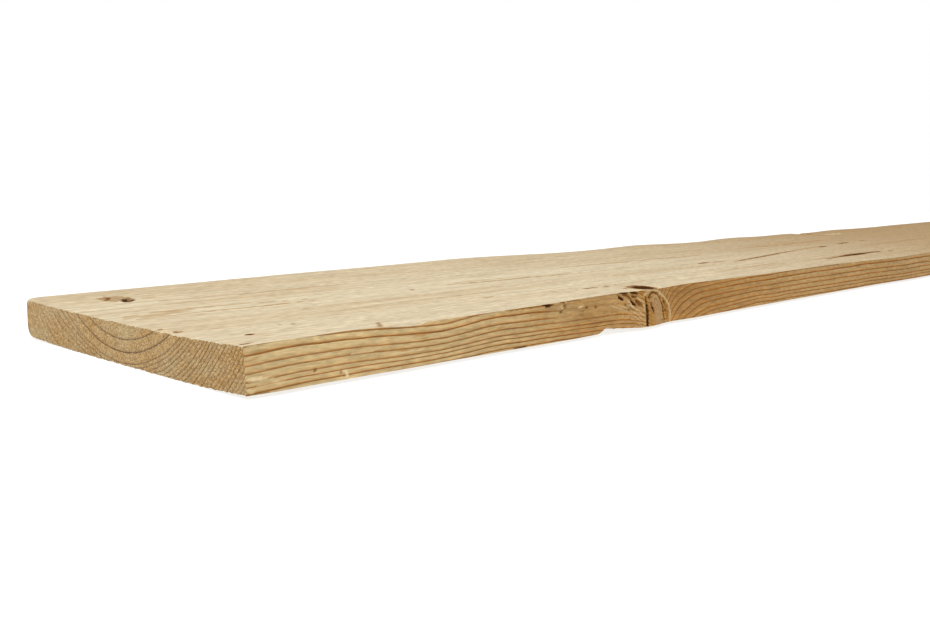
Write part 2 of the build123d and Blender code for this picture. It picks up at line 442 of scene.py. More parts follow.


# Marks on the near side: a path of (along, height over the floor), the width, the depth, then
# how much of each tone they take: cavity (painted shade inside the mark, partly the wood's own
# dark), brown, pale
SIDE_MARKS = [
    # Fissure left of the big knot, with stained wood on both its sides
    ([(370.8, 23.5), (368.4, 18), (365, 13.2), (360.7, 8.4), (356.7, 3.8), (354, 0)],
     2.8, 4, 1, 0.7, 0),
    ([(371, 23), (366.5, 13), (360, 4)], 6.5, 0.2, 0, 0.55, 0),
    ([(374, 16), (370.5, 10), (363, 3)], 8.0, 0.2, 0, 0.4, 0),
    ([(373.8, 22.9), (375.9, 22.9)], 3.0, 2.4, 1, 0.4, 0),
    ([(375.4, 23.4), (378, 25.4), (381.5, 26.6), (385.8, 25.4), (388.8, 20.5), (388.7, 14.6),
      (386.6, 7.7), (383.6, 2)], 2.0, 0.9, 0.6, 1, 0),
    ([(373.9, 18.4), (373.6, 14.8), (373, 11.4)], 2.7, 2.8, 1, 0.6, 0),
    ([(377, 20), (376, 14)], 1.2, 0.3, 0, 0.5, 0),
    # Pale hood over the knot and brown wood inside it
    ([(369, 24.6), (376.1, 27.6), (381.9, 28.9), (387.8, 27), (395, 22.4), (398.8, 15.7),
      (397.2, 8.5), (392.5, 2.6)], 2.6, 0, 0, 0, 0.5),
    ([(391.5, 22.5), (394, 17), (393, 11), (389.5, 4)], 5.6, 0.3, 0, 0.65, 0),
    ([(392.2, 19.5), (392.6, 16.5)], 3.2, 0.8, 0.25, 1, 0),
    ([(391, 12.8), (390.5, 10.6)], 2.4, 0.6, 0.2, 1, 0),
    ([(366.5, 27.6), (371.5, 25.8)], 5.5, 0.4, 0, 0.75, 0),
    # Torn splits left of it, from the top arris down
    ([(343.6, 28.5), (348, 28.3), (353.9, 27.6)], 2.1, 2.6, 0.8, 0.9, 0),
    ([(346, 26.7), (350, 25.9), (353.9, 24.9)], 2.4, 1.2, 0.35, 0.9, 0),
    ([(340.7, 25.5), (342.6, 24.4), (344.9, 23)], 2.6, 2.6, 1, 0.9, 0),
    ([(340.9, 27.5), (342.3, 25.6)], 1.4, 1, 0.5, 0.8, 0),
    ([(357.2, 27.6), (364.5, 26.4)], 2.0, 2.6, 0.85, 0.8, 0),
    ([(355.9, 25), (360.3, 23.7)], 1.9, 2, 0.75, 0.8, 0),
    ([(352.9, 22.2), (353.4, 20), (355, 17.8)], 3.4, 3, 0.95, 0.9, 0),
    ([(357.8, 21.7), (360, 19.8), (362, 18.2)], 4.2, 1.5, 0.3, 0.95, 0),
    ([(351, 24), (355, 22.8)], 1.6, 1, 0.4, 0.8, 0),
    ([(343.6, 19.4), (345.6, 19.3)], 1.9, 1.4, 0.6, 0.6, 0),
    ([(344.2, 16.1), (346.6, 15.8)], 1.6, 1.2, 0.55, 0.6, 0),
    ([(348, 17.6), (352, 15.4)], 1.2, 0.8, 0.35, 0.5, 0),
    ([(333, 21), (338, 20.4)], 1.0, 0.5, 0.15, 0.6, 0),
    # Fibres that flow down to the foot of the knot
    ([(324, 21.6), (338, 17.4), (349, 10), (356, 3)], 1.2, 0.4, 0, 0, 0.4),
    ([(330, 22.6), (343, 18), (353, 10.8), (357, 5)], 1.0, 0.4, 0, 0, 0.45),
    ([(346, 20.8), (356, 14), (360, 8)], 1.3, 0.4, 0, 0, 0.5),
    ([(336, 13), (346, 8.4), (352, 3)], 1.0, 0.3, 0, 0, 0.35),
    ([(349, 23.2), (352, 17.6)], 1.5, 0.3, 0, 0, 0.8),
    ([(361.5, 24.8), (365, 19), (362, 14.5)], 2.2, 0.3, 0, 0, 0.4),
    ([(327, 16.6), (338, 12.6), (347, 6)], 0.9, 0.5, 0, 0.6, 0),
    ([(340, 15.2), (352, 9.4), (357, 3.2)], 0.9, 0.5, 0, 0.55, 0),
    # Small hole in the top arris and worm pits to its right
    ([(244.6, 28.4), (249.5, 27.7), (254.1, 27.2)], 2.5, 1.6, 0.9, 0.9, 0),
    ([(205, 28.3), (219, 28.3), (232, 28.2), (245, 27.8)], 1.5, 0.4, 0.05, 0.8, 0),
    ([(229.9, 28.4), (231.9, 26.9)], 1.0, 0.6, 0.2, 0.6, 0),
    ([(264.3, 28.5), (271.6, 28.3)], 1.9, 1, 0.35, 0.9, 0),
    ([(268.4, 27), (269.6, 25.8)], 1.5, 1, 0.6, 0.4, 0),
    ([(270.6, 25), (268, 24)], 1.4, 1, 0.5, 0.4, 0),
    ([(266.9, 23.8), (265.4, 22.6)], 1.3, 0.9, 0.5, 0.4, 0),
    ([(261.6, 22), (265, 21.8)], 1.6, 1, 0.65, 0.5, 0),
    ([(266.2, 26.4), (267.2, 24.4), (263.4, 23)], 1.4, 0.2, 0, 0, 1),
    ([(275, 28.6), (284, 28.1), (293, 27.9)], 1.2, 0.8, 0.3, 0.7, 0),
    ([(286.5, 23.4), (290, 23.2)], 1.5, 0.2, 0, 0, 0.9),
    ([(295.6, 22.3), (298, 22.1)], 2.0, 1.1, 0.6, 0.7, 0),
    ([(306.4, 21.2), (309.4, 21)], 1.8, 1, 0.5, 0.7, 0),
    ([(289, 20.4), (291, 20.2)], 1.3, 0.8, 0.4, 0.4, 0),
    ([(300, 24.6), (302, 24.4)], 1.3, 0.8, 0.4, 0.4, 0),
    # Pale torn fibres, and a small dent, towards the -X end
    ([(0.6, 10.9), (7, 10.8), (13, 10.3)], 2.0, 0.3, 0, 0, 1),
    ([(1, 9.4), (9, 9.6), (16, 9.4)], 1.0, 0.3, 0, 0, 0.6),
    ([(7, 7.4), (15, 7.2), (24.7, 6.8)], 1.7, 0.3, 0, 0, 0.8),
    ([(0.5, 5.6), (3.5, 3.6)], 2.4, 0.3, 0, 0, 0.8),
    ([(1, 2.6), (8, 2.7), (14, 2.6)], 1.5, 0.5, 0.1, 0.6, 0),
    ([(1.8, 28.7), (8, 28.8)], 1.2, 0.1, 0, 0, 0.9),
    ([(44.8, 10.6), (46.3, 9.8)], 1.8, 0.5, 0.5, 0.7, 0),
    ([(62.4, 8.2), (63.6, 5.6), (66, 4)], 1.3, 0.4, 0.35, 0.3, 0),
    ([(64.4, 7.6), (67.2, 6.8), (67, 3.4)], 1.4, 0.1, 0, 0, 1),
    ([(100, 12.3), (112, 12.5), (124, 12.7)], 1.3, 0.3, 0, 0, 0.8),
    ([(108, 8.6), (118, 8.7), (128, 8.9)], 1.1, 0.3, 0, 0, 0.6),
    ([(72, 15.4), (80, 15.4), (90, 15.2)], 1.0, 0.2, 0, 0, 0.6),
    ([(124, 17.4), (133, 17.6)], 0.9, 0.4, 0.1, 0.6, 0),
    ([(209, 2.8), (219.6, 3)], 1.5, 1.2, 0.5, 0.6, 0),
]

# Marks on the top: as above, with the distance from the near mean line in place of the height
TOP_MARKS = [
    # Slit over the big knot, its torn rim, and small ones left of it
    ([(402, 35), (393, 24), (388, 16), (384.6, 10.6)], 18.0, 6, 0.9, 1, 0),
    ([(406, 40), (394, 27), (384, 11), (381, 7)], 25.0, 0.5, 0, 0.85, 0),
    ([(377, 31), (379, 28)], 7.0, 0.3, 0.15, 0.8, 0),
    ([(404, 22), (401, 14), (398, 9)], 4.5, 0.1, 0, 0, 0.9),
    ([(374, 22), (371, 15), (369, 11)], 4.0, 0.1, 0, 0, 0.8),
    ([(356, 56), (366, 55.6), (374, 55)], 4.6, 1, 0.4, 1, 0),
    ([(381, 54.6), (388, 54)], 5.0, 1.2, 0.9, 0.7, 0),
    ([(387, 65), (395, 61), (404, 57)], 4.0, 0.3, 0.1, 0.75, 0),
    ([(404, 60), (430, 58), (452, 60)], 3.0, 0.1, 0, 0.4, 0),
    ([(255, 73), (262, 72.6), (270, 73)], 4.0, 0.4, 0.1, 0.7, 0),
    ([(252.6, 153), (257.6, 153)], 5.0, 0.4, 0.25, 0.8, 0),
    # Pin knot, and strokes at the sawn end
    ([(27, 40.6), (30, 42), (32.4, 43)], 6.4, 0.4, 0, 1, 0),
    ([(29.6, 41.8), (31, 42.6)], 3.0, 0.9, 0.9, 1, 0),
    ([(27, 40.2), (27.8, 40.6)], 2.0, 0.5, 0.6, 1, 0),
    ([(2.4, 8.4), (6, 10), (10.6, 10.8)], 3.4, 0.9, 0.15, 1, 0),
    ([(2, 5), (8, 6), (14, 6.4)], 2.6, 0.1, 0, 0, 1),
    ([(3.6, 83.2), (7, 84), (11, 84.6)], 4.0, 0.8, 0.15, 1, 0),
    ([(0, 92), (2.5, 90), (3.6, 82)], 3.4, 0.5, 0, 0, 0.9),
    ([(2, 98), (6, 100)], 3.0, 0.6, 0.1, 0.9, 0),
    ([(72.6, 61.6), (74.6, 62)], 4.0, 0.5, 0.35, 0.9, 0),
    ([(65, 66), (68, 66)], 3.4, 0.2, 0.1, 0.6, 0),
    ([(98.6, 6), (104, 14), (111, 25)], 2.2, 0.3, 0.4, 1, 0),
    ([(101.6, 5), (107, 13), (113, 23)], 1.8, 0.1, 0, 0, 1),
    ([(639, 121.6), (651, 123.4), (664, 125)], 6.0, 0.7, 0.25, 1, 0),
    ([(664, 120), (690, 121)], 4.4, 0.1, 0, 0.6, 0),
    ([(962, 52), (971, 53), (984, 54)], 4.0, 0.5, 0.35, 0.9, 0),
    ([(976, 148), (991, 150), (1006, 153)], 7.0, 0.6, 0.3, 1, 0),
    ([(1062, 161), (1080, 163), (1100, 166)], 8.0, 0.6, 0.3, 1, 0),
    ([(1150, 170), (1172, 172)], 7.0, 0.4, 0.2, 0.8, 0),
    ([(1214, 292), (1232, 290), (1250, 291)], 12.0, 0.2, 0.1, 0.7, 0),
    ([(1242, 272), (1270, 268), (1306, 266)], 11.0, 0.1, 0, 0, 0.9),
    ([(1225, 268), (1240, 262)], 8.0, 0.3, 0.1, 0.7, 0),
    # Stains round the open knot
    ([(44, 254), (49, 262), (50, 269)], 4.5, 0.5, 0.35, 0.9, 0),
    ([(42, 262), (47, 268)], 5.0, 0.3, 0.1, 0.7, 0),
    ([(41, 250), (44, 254)], 3.5, 0.2, 0.1, 0.7, 0),
    ([(50, 274), (54, 276)], 4.0, 0.2, 0.1, 0.6, 0),
    ([(66, 246), (80, 250)], 5.0, 0.1, 0, 0.35, 0),
    # Long brown lines of the grain
    ([(690, 109.6), (790, 126), (896, 142.4)], 6.4, 0.1, 0, 0.95, 0),
    ([(880, 140), (950, 150), (1010, 157)], 6.0, 0.1, 0, 0.5, 0),
    ([(302, 160.4), (360, 154), (458, 151.9)], 5.0, 0.1, 0, 0.6, 0),
    ([(300, 167), (360, 165), (420, 160)], 4.0, 0.1, 0, 0.35, 0),
    ([(420, 148), (500, 146), (560, 150)], 4.4, 0.1, 0, 0.45, 0),
    ([(12, 158), (38, 160), (66, 172)], 13.0, 0.1, 0, 0.38, 0),
    ([(14, 150), (60, 152), (110, 151), (158, 152)], 4.0, 0.1, 0, 0.6, 0),
    ([(14, 166), (60, 176), (110, 172), (156, 160)], 4.4, 0.1, 0, 0.5, 0),
    ([(120, 120), (240, 118), (330, 122)], 4.4, 0.1, 0, 0.35, 0),
    ([(70, 226), (180, 222), (260, 226)], 6.0, 0.1, 0, 0.35, 0),
    ([(60, 205), (150, 202), (220, 205)], 6.0, 0.1, 0, 0.3, 0),
    ([(500, 196), (620, 190), (760, 186)], 7.0, 0.1, 0, 0.4, 0),
    ([(470, 110), (560, 104), (640, 104)], 5.0, 0.1, 0, 0.4, 0),
    ([(740, 62), (800, 60), (860, 66)], 5.0, 0.1, 0, 0.35, 0),
    ([(560, 60), (640, 66), (720, 68)], 4.4, 0.1, 0, 0.4, 0),
    ([(880, 210), (1000, 206), (1120, 212)], 9.0, 0.1, 0, 0.4, 0),
    ([(1040, 120), (1160, 124), (1300, 128)], 8.0, 0.1, 0, 0.4, 0),
    ([(1100, 60), (1250, 66), (1400, 66)], 9.0, 0.1, 0, 0.35, 0),
]


def pressed_marks(marks, first, second, origin, shift):
    """Depth and tones of a table of marks at each point of one face."""
    depth = np.zeros_like(first)
    tones = [np.zeros_like(first) for _ in range(3)]
    for path, width, deep, *amounts in marks:
        path = [(a, b + origin) for a, b in path]
        inside = stroke(first + 2 * shift, second + shift, path, width)
        depth = np.maximum(depth, deep * smooth_step(inside, 0.1, 0.8))
        for tone, amount in zip(tones, amounts):
            np.maximum(tone, amount * smooth_step(inside, 0, 0.25), out=tone)
    return depth, tones


def ring_count(along, across, height, edge_shift):
    """Rings between the pith and each point of the wood, as a number that grows outward.

    The edge shift says how far the near edge stands inside its mean line: the grain near that
    edge runs along with it.
    """
    inward = np.clip(across - NEAR_LINE, 0, None)
    near = np.exp(-inward / NEAR_REACH)
    across = across - edge_shift * near
    high_share = np.clip((height - 8) / 16, -0.4, 1.3)
    upper = np.interp(along, GRAIN_WAVE[:, 0], GRAIN_WAVE[:, 1])
    lower = np.interp(along, GRAIN_WAVE[:, 0], GRAIN_WAVE[:, 2])
    wave = (lower + (upper - lower) * high_share) * near

    # Away from the edges the pith wanders gently, which draws the tongues on the top
    rise = sum(size * np.sin(along / run + start) for size, run, start in PITH_WAVES) - PITH_SINK
    pith_height = PITH_HEIGHT + rise * (1 - near)
    radius = np.hypot(across - PITH_ACROSS, pith_height - height + wave)
    radius = radius + 0.8 * wood_noise(3, (along, 90), (across, 30)) * (1 - near)
    radius = radius + 0.35 * wood_noise(4, (along, 30), (across, 14))

    # Beyond the pith the rings stand further apart
    wider = 1 - SPREAD_SHARE * smooth_step(across - NEAR_LINE, *SPREAD_INWARD)
    beyond = radius - SPREAD_RADIUS
    radius = SPREAD_RADIUS + beyond * np.where(beyond > 0, wider, 1)

    # The rings swing out round the big knot and round the small one in the top
    off = along - SWING_ALONG
    distance = np.sqrt(off ** 2 + (0.5 * inward) ** 2) - KNOT_RADIUS
    reach = np.where(off > 0, *KNOT_SWING_REACH)
    swing = np.where(off > 0, *KNOT_SWING)
    radius = radius - swing * np.exp(-np.clip(distance, 0, None) / reach)
    small_knot_across = NEAR_LINE + SMALL_KNOT_INWARD
    distance = np.hypot(along - SMALL_KNOT_ALONG, (across - small_knot_across) * 0.8) - KNOT_RADIUS
    swing = SMALL_KNOT_SWING * np.exp(-np.clip(distance, 0, None) / SMALL_KNOT_SWING_REACH)
    return np.interp(radius - swing, RING_PLACES, RING_NUMBERS)


def knot_distance(along, height):
    """Distance from the heart of the big knot: 1 at its rim. The heart leans over the swell."""
    middle = np.interp(height, *KNOT_LEAN)
    return np.hypot((along - middle) / KNOT_HALF_LENGTH, (height - KNOT_MIDDLE) / KNOT_HALF_HEIGHT)


def share_within(distance, reach):
    """1 at no distance, falling evenly to 0 at the reach."""
    return np.clip(1 - distance / reach, 0, 1)


def break_edges(along, across, height, near_foot, near_top, far_top):
    """Heights over the foot, with the chip, the sliver and the notch broken off the edges."""
    chip = CHIP_HEIGHT * smooth_step(along, CHIP_START, CHIP_START + CHIP_STEEP)
    chip = chip * np.clip((CHIP_END - along) / CHIP_TAPER, 0, 1)
    chip = chip * (1 + 0.25 * wood_noise(11, (along, 5), (across, 6)))
    reach = share_within(across - near_foot, CHIP_REACH)
    height = height + chip * reach * share_within(height, CHIP_TOP)

    sliver = SLIVER_HEIGHT * smooth_step(along, SLIVER_START, SLIVER_FULL)
    sliver = sliver * (1 - smooth_step(along, SLIVER_TORN, SLIVER_END))
    reach = share_within(across - near_top, SLIVER_REACH)
    height = height - sliver * reach * np.clip((height - SLIVER_FOOT) / 13, 0, 1)

    notch = NOTCH_HEIGHT * share_within(np.abs(along - NOTCH_MIDDLE), NOTCH_HALF_LENGTH)
    reach = share_within(far_top - across, NOTCH_REACH)
    return height - notch * reach * np.clip((height - NOTCH_FOOT) / 17, 0, 1)


def bark_pocket(along, across):
    """How far a point lies inside the pocket of bark, and inside the stained wood round it."""
    share = (along - POCKET_START) / POCKET_LENGTH
    middle = NEAR_LINE + POCKET_INWARD + POCKET_BEND * np.sin(np.clip(share, 0, 1) * POCKET_SWEEP)
    width = np.interp(share, POCKET_SHARES, POCKET_WIDTHS)
    off = np.abs(across - middle + 0.8 * wood_noise(31, (along, 9)))
    inside = np.clip(1.25 - off / (width + 0.01), 0, 1) * (width > 0.01)
    rim = np.clip(1.7 - off / (width + 0.8), 0, 1) * (width > 0.01)
    return inside, rim


def small_knot(along, across):
    """The open knot in the top: its depth, then the shares of hole, grey wood and brown rim."""
    inward = across - NEAR_LINE + 1.2 * wood_noise(41, (along, 3), (across, 4))
    hole = lens(along, inward, *KNOT_HOLE)
    depth = smooth_step(hole, 0, 0.3) + 4 * smooth_step(hole, 0.45, 0.8)
    hole = smooth_step(hole, 0, 0.12)
    wood = lens(along, inward, *KNOT_WOOD)
    grey = smooth_step(wood, 0.12, 0.3) * (1 - hole)
    return depth, hole, grey, smooth_step(wood, 0, 0.1) * (1 - grey)


def torn_rim(along, across, floor_height, teeth):
    """Fibres torn off the rim of the first sawn end.

    Returns how far each point moves down from the top, in from the near side, up from the
    underside, and back along the plank.
    """
    close = share_within(along, RIM_REACH)
    tooth = 0.5 + 0.5 * wood_noise(61, (across, 1.25)) + 0.35 * wood_noise(62, (across, 3.1))
    down = teeth * np.clip(tooth - 0.25, 0, 1.2) * close
    inward = 0.45 * np.clip(0.3 + 0.6 * wood_noise(63, (floor_height, 1.0)), 0, 1) * close
    up = 0.7 * np.clip(0.2 + 0.8 * wood_noise(64, (across, 2.0)), 0, 1) * close
    pulled = 0.5 * np.clip(wood_noise(65, (across, 1.7), (floor_height, 1.7)), 0, 1)
    return down, inward, up, pulled * share_within(along, PULLED_REACH)


def dress_rows(rows, lines, steps, relief, rim):
    """Places and tones of the points of some rows: a dictionary of (rows, points) arrays."""
    near_foot, near_top, far_top, far_foot = lines.at(rows)
    across, height, places = section_loop(
        (near_foot, near_top, far_top, far_foot), lines.thickness, steps)
    along = np.repeat(rows[:, None], len(places), axis=1)
    place = np.repeat(places[None, :], len(rows), axis=0)
    near_foot, near_top, far_top = near_foot[:, None], near_top[:, None], far_top[:, None]
    share_up = np.clip(height / lines.thickness, 0, 1)
    near = np.where(place < 2, 1 - smooth_step(place, 0.9, 1.1), smooth_step(place, 3.9, 4.1))
    far = smooth_step(place, 1.9, 2.1) * (1 - smooth_step(place, 2.9, 3.1))
    top = smooth_step(place, 0.9, 1.1) * (1 - smooth_step(place, 1.9, 2.1))
    under = 1 - np.clip(near + far + top, 0, 1)

    height = break_edges(along, across, height, near_foot, near_top, far_top)
    height = height + hollow(across)
    floor_height = height.copy()

    # Long shallow hollows of the hand tool, then marks
    inward_near = relief["edge_hollows"] * (1 + wood_noise(21, (along, 46), (height, 14)))
    down_top = relief["top_hollows"] * (1 + wood_noise(22, (along, 60), (across, 30)))
    shift = 0.3 * wood_noise(23, (along, 2.4), (floor_height, 1.4))
    side_depth, side_tones = pressed_marks(SIDE_MARKS, along, floor_height, 0, shift)
    shift = 0.8 * wood_noise(24, (along, 5.0), (across, 2.0))
    top_depth, top_tones = pressed_marks(TOP_MARKS, along, across, NEAR_LINE, shift)
    top_depth = TOP_MARK_DEPTH * top_depth

    pocket, pocket_rim = bark_pocket(along, across)
    knot_depth, knot_hole, knot_grey, knot_rim = small_knot(along, across)
    top_depth = np.maximum.reduce([top_depth, 0.5 * pocket, knot_depth])
    # The cavity tone paints the pocket's dark bark with shade in its crack, and painted shade
    # inside the open knot's hole
    top_tones[0] = np.maximum.reduce([
        top_tones[0], 0.75 * smooth_step(pocket, 0.1, 0.6), 0.9 * knot_hole])
    far_strip = 0.05 * smooth_step(across - NEAR_LINE, *FAR_STRIP)
    top_tones[1] = np.maximum.reduce([top_tones[1], pocket_rim, far_strip, 0.75 * knot_rim])

    # Ridges of late wood stand a little proud on the brushed faces
    edge_shift = near_foot + (near_top - near_foot) * share_up - NEAR_LINE
    rings = ring_count(along, across, floor_height, edge_shift)
    phase = rings % 1
    ridge = smooth_step(phase, 0.35, 0.85) * (1 - smooth_step(phase, 0.93, 1.0))
    inward_near = inward_near + relief["edge_ridges"] * (1 - ridge) + side_depth
    down_top = down_top + relief["top_ridges"] * (1 - ridge) + top_depth

    # The big knot: its smooth heart has rings of its own
    knot = knot_distance(along, floor_height)
    heart = (1 - smooth_step(knot, 0.9, 1.0)) * near
    inward_near = inward_near * (1 - 0.5 * heart)
    waver = 0.5 * wood_noise(51, (along, 4), (floor_height, 6))
    knot_rings = HEART_FIRST_RING + knot * HEART_RINGS + waver
    rings = np.where(heart > 0.5, knot_rings, rings)

    swirl = np.exp(-((along - SWIRL_ALONG) / SWIRL_REACH) ** 2) * smooth_step(floor_height, 6, 24)
    side_tones[0] = np.maximum(side_tones[0], 0.13 * swirl)
    faint = smooth_step(along, *FAINT_FROM) * (1 - smooth_step(along, *FAINT_TO))

    if rim:
        down, inward, up, back = torn_rim(along, across, floor_height, relief["teeth"])
        down_top = down_top + down
        inward_near = inward_near + inward
        height = height + up * under
        along = along + back

    across = across + (inward_near + CLEARANCE) * near - FAR_CLEARANCE * far
    height = height - (down_top + CLEARANCE) * top + CLEARANCE * under
    return {
        "along": along, "across": across, "height": height, "rings": rings,
        "cavity": np.maximum(side_tones[0] * near, top_tones[0] * top),
        "brown": np.maximum(side_tones[1] * near, top_tones[1] * top),
        "pale": np.maximum(side_tones[2] * near, top_tones[2] * top),
        "grey": np.maximum(knot_grey * top, 0.75 * heart),
        "russet": np.where(near + far > 0.5, np.interp(along, *RUSSET),
                           smooth_step(along, 350, 1400)),
        "fade": near * faint * smooth_step(floor_height, *FAINT_ABOVE),
        "side": np.clip(near + far, 0, 1), "places": places,
    }


def loop_faces(first, rows, count):
    """Quads between each row's loop and the next. The first row starts at point first."""
    start = first + np.arange(rows - 1)[:, None] * count
    here = start + np.arange(count)[None, :]
    following = start + np.roll(np.arange(count), -1)[None, :]
    quads = np.stack([here, following, following + count, here + count], axis=-1)
    return quads.reshape(-1, 4).tolist()


# Places round a loop run from 0 to one turn, and no place reaches the last number
TURN = 4
PAST_ALL = 9


def place_after(places, index):
    """The place of the next point round a loop, which closes on its first point."""
    if index + 1 < len(places):
        return places[index + 1]
    return places[0] + TURN if index < len(places) else PAST_ALL


def zip_faces(lower, lower_places, upper, upper_places):
    """Triangles that join two closed loops with different numbers of points."""
    faces = []
    i = j = 0
    n, m = len(lower), len(upper)
    while i < n or j < m:
        lower_first = place_after(lower_places, i) <= place_after(upper_places, j)
        if i < n and (j >= m or lower_first):
            faces.append([lower[i], lower[(i + 1) % n], upper[j % m]])
            i += 1
        else:
            faces.append([lower[i % n], upper[(j + 1) % m], upper[j]])
            j += 1
    return faces


def end_cap(across, height, step):
    """A triangulated sawn end inside one loop: its points, its faces and where they come from."""
    border = [Vector((y, z)) for y, z in zip(across, height)]
    count = len(border)
    columns = np.arange(across.min() + step, across.max() - step / 2, step)
    rows = np.arange(height.min() + step * 0.9, height.max() - step / 2, step * 0.9)
    within = [Vector((y + (k % 2) * step / 2, z)) for k, z in enumerate(rows) for y in columns]
    edges = [(k, (k + 1) % count) for k in range(count)]
    result = delaunay_2d_cdt(border + within, edges, [], 1, 1e-4)
    return result[0], result[2], result[3]


# The cavity tone is painted shade inside splits, pits and holes, over the dark of bark and stains
TONES = ("rings", "cavity", "brown", "pale", "grey", "russet", "fade", "side")

# Steps between the points of the first sawn end and of the other
FIRST_END_STEP = 1.5
LAST_END_STEP = 6.0


def add_end(body, border, cap_along, step, outward):
    """Closes the sleeve with a sawn end over a loop of its points."""
    border_points = body["points"][border]
    flat, cap, sources = end_cap(border_points[:, 1], border_points[:, 2], step)
    index, extra = {}, []
    for k, source in enumerate(sources):
        on_border = [s for s in source if s < len(border)]
        if on_border:
            index[k] = int(border[on_border[0]])
        else:
            index[k] = len(body["points"]) + len(extra)
            extra.append((cap_along, flat[k][0], flat[k][1]))
    extra = np.array(extra)
    sunk = 0.12 * (1 + wood_noise(71, (extra[:, 1], 1.6), (extra[:, 2], 1.6)))
    body["points"] = np.vstack([body["points"], extra - outward * sunk[:, None] * [1, 0, 0]])
    rings = ring_count(extra[:, 0], extra[:, 1], extra[:, 2], 0.0)
    body["rings"] = np.append(body["rings"], rings)
    for tone in TONES[1:]:
        body[tone] = np.append(body[tone], np.zeros(len(extra)))
    for face in cap:
        loop = [index[k] for k in face]
        a, b, c = (body["points"][k] for k in loop[:3])
        faces_out = np.cross(b - a, c - a)[0] * outward > 0
        body["faces"].append(loop if faces_out else loop[::-1])
        body["material"].append(1)


def build_body(relief):
    """The dressed plank: a fine sleeve along the solid's own arrises, closed by two sawn ends."""
    lines = Lines(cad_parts["plank"])
    rim = dress_rows(RIM_ROWS, lines, RIM_STEPS, relief, True)
    rest = dress_rows(ROWS, lines, SECTION_STEPS, relief, False)
    rim_count, rest_count = len(rim["places"]), len(rest["places"])
    rim_total = rim_count * len(RIM_ROWS)

    def points_of(part):
        return np.stack([part["along"], part["across"], part["height"]], axis=-1).reshape(-1, 3)

    body = {"points": np.vstack([points_of(rim), points_of(rest)])}
    for tone in TONES:
        body[tone] = np.concatenate([rim[tone].ravel(), rest[tone].ravel()])
    last_rim = list(range(rim_total - rim_count, rim_total))
    first_rest = list(range(rim_total, rim_total + rest_count))
    body["faces"] = loop_faces(0, len(RIM_ROWS), rim_count)
    body["faces"] += zip_faces(last_rim, rim["places"], first_rest, rest["places"])
    body["faces"] += loop_faces(rim_total, len(ROWS), rest_count)
    body["material"] = [0] * len(body["faces"])

    first_border = np.arange(rim_count)
    last_border = np.arange(rest_count) + rim_total + rest_count * (len(ROWS) - 1)
    add_end(body, first_border, 0.0, FIRST_END_STEP, -1)
    add_end(body, last_border, LENGTH, LAST_END_STEP, 1)
    body["points"][:, 0] += LEFT_END
    body["sharp"] = set(first_border.tolist()) | set(last_border.tolist())
    return body


# Reflection of dry bare wood, as a share of a clear varnish's
SHINE = 0.2


def add(tree, kind, inputs=None, output=None, **settings):
    """Adds a node with its settings, sets or links its inputs, and gives back one output."""
    node = tree.nodes.new("ShaderNode" + kind)
    for name, value in settings.items():
        setattr(node, name, value)
    for key, value in (inputs or {}).items():
        socket = node.inputs[key]
        if isinstance(value, bpy.types.NodeSocket):
            tree.links.new(value, socket)
        elif socket.type == "RGBA" and len(value) == 3:
            socket.default_value = (*value, 1)
        else:
            socket.default_value = value
    if output:
        return node.outputs[output]
    return next((socket for socket in node.outputs if socket.enabled), None)


def blank_material(name):
    """A material without nodes, and its tree."""
    material = bpy.data.materials.new(name)
    material.use_nodes = True
    material.node_tree.nodes.clear()
    return material, material.node_tree


def wood_tones(tree):
    """The tones that the mesh holds at each point."""
    return {name: add(tree, "Attribute", output="Fac", attribute_name=name) for name in TONES}


def grain(tree, place, size, detail, start, end):
    """Noise spread from 0 at start to 1 at end. Its size is in millimetres along each axis."""
    scale = [1 / (length * MM) for length in size]
    stretched = add(tree, "Mapping", {"Vector": place, "Scale": scale})
    value = add(tree, "TexNoise", {"Vector": stretched, "Scale": 1.0, "Detail": detail})
    return add(tree, "MapRange", {"Value": value, "From Min": start, "From Max": end})


def layer(tree, colour, over, share, strength=1.0):
    """A colour laid over another, as thick as a share from 0 to 1 times a strength."""
    cover = add(tree, "Math", {0: share, 1: strength}, operation="MULTIPLY")
    return add(tree, "Mix", {0: cover, 6: colour, 7: over}, data_type="RGBA")


def shade(tree, colour, value, darkest, lightest):
    """A colour made darker and lighter by a value from 0 to 1."""
    spread = {0: value, 1: lightest - darkest, 2: darkest}
    factor = add(tree, "Math", spread, operation="MULTIPLY_ADD")
    return add(tree, "Mix", {0: 1.0, 6: colour, 7: factor}, data_type="RGBA", blend_type="MULTIPLY")


def ring_profile(tree, phase, stops):
    """How a tone rises and falls through a ring: stops of (share of the ring, tone)."""
    tone = add(tree, "ValToRGB", {"Fac": phase})
    elements = tone.node.color_ramp.elements
    while len(elements) < len(stops):
        elements.new(0.5)
    for element, (position, brightness) in zip(elements, stops):
        element.position = position
        element.color = (brightness, brightness, brightness, 1)
    return tone


def late_wood(tree, tones, place, size, waver):
    """Where each point lies in its ring, from 0 to 1, and how strong that ring is."""
    fibre = grain(tree, place, size, 3.0, 0.0, 1.0)
    shift = add(tree, "Math", {0: fibre, 1: waver, 2: -waver / 2}, operation="MULTIPLY_ADD")
    count = add(tree, "Math", {0: tones["rings"], 1: shift}, operation="ADD")
    number = add(tree, "Math", {0: count}, operation="FLOOR")
    strength = add(tree, "TexWhiteNoise", {"W": number}, noise_dimensions="1D")
    return add(tree, "Math", {0: count}, operation="FRACT"), strength


